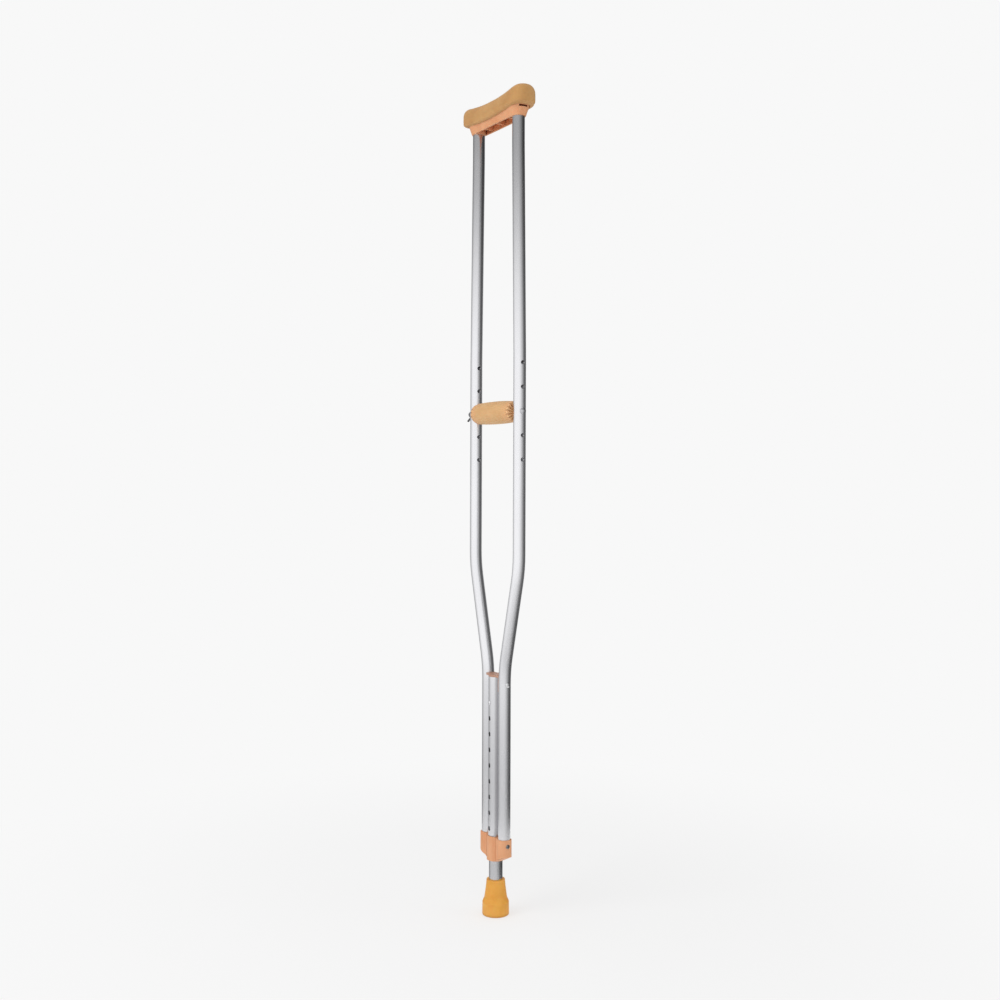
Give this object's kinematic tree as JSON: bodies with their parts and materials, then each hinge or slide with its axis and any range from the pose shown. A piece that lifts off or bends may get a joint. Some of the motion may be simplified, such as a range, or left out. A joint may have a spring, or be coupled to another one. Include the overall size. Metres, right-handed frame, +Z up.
{
  "type": "underarm crutch",
  "caption": "Underarm crutch with bent aluminium uprights, padded saddle, barrel hand grip and a telescoping leg on a rubber ferrule.",
  "frame": {"origin": "centre of the ferrule's sole, on the leg's axis at floor level", "axes": "+Z up along the leg, +X from the wing nut's side to the bolt head's side, +Y through the gap between the uprights"},
  "size_m": [0.194, 0.0436, 1.3242],
  "materials": {
    "satin_aluminium": "satin anodised",
    "peach_plastic": "moulded",
    "pad_foam": "matt skin",
    "grip_foam": "matt skin",
    "amber_rubber": "moulded",
    "zinc_steel": "zinc plated",
    "bolt_steel": "zinc plated",
    "nut_steel": "dark plated",
    "rivet_aluminium": "bright",
    "spring_steel": "spring temper",
    "button_steel": "bright",
    "plug_plastic": "moulded"
  },
  "bodies": {
    "frame": {"left_upright": "satin_aluminium", "right_upright": "satin_aluminium", "leg_sleeve": "satin_aluminium", "leg_collar": "peach_plastic", "collar_screw_left": "zinc_steel", "collar_screw_right": "zinc_steel", "top_spacer": "peach_plastic", "top_rivet": "rivet_aluminium", "underarm_saddle": "peach_plastic", "tube_plug_left": "plug_plastic", "tube_plug_right": "plug_plastic", "saddle_screw_left": "zinc_steel", "saddle_screw_right": "zinc_steel", "underarm_pad": "pad_foam", "grip_washer": "zinc_steel"},
    "leg": {"leg_tube": "satin_aluminium", "ferrule": "amber_rubber", "ferrule_washer": "zinc_steel", "snap_spring": "spring_steel"},
    "front_button": {"snap_button_front": "button_steel"},
    "back_button": {"snap_button_back": "button_steel"},
    "hand_grip": {"grip_core": "peach_plastic", "grip_sleeve": "grip_foam"},
    "bolt": {"grip_bolt": "bolt_steel"},
    "nut": {"wing_nut": "nut_steel"}
  },
  "joints": [
    {"name": "leg_extend", "type": "slide", "parent": "frame", "child": "leg", "axis": [0, 0, -1], "range_m": [0, 0.2032], "deforming": ["snap_spring", "snap_button_front", "snap_button_back"]},
    {"name": "front_button_press", "type": "slide", "parent": "leg", "child": "front_button", "axis": [0, 1, 0], "range_m": [0, 0.0042], "stiffness_N_per_m": 800},
    {"name": "back_button_press", "type": "slide", "parent": "leg", "child": "back_button", "axis": [0, -1, 0], "range_m": [0, 0.0042], "stiffness_N_per_m": 800},
    {"name": "grip_turn", "type": "hinge", "parent": "frame", "child": "hand_grip", "pos_m": [0, 0, 0.813], "axis": [1, 0, 0], "continuous": true},
    {"name": "bolt_withdraw", "type": "slide", "parent": "frame", "child": "bolt", "axis": [1, 0, 0], "range_m": [0, 0.18]},
    {"name": "wing_nut_turn", "type": "hinge", "parent": "frame", "child": "nut", "pos_m": [-0.088, 0, 0.813], "axis": [-1, 0, 0], "continuous": true}
  ]
}
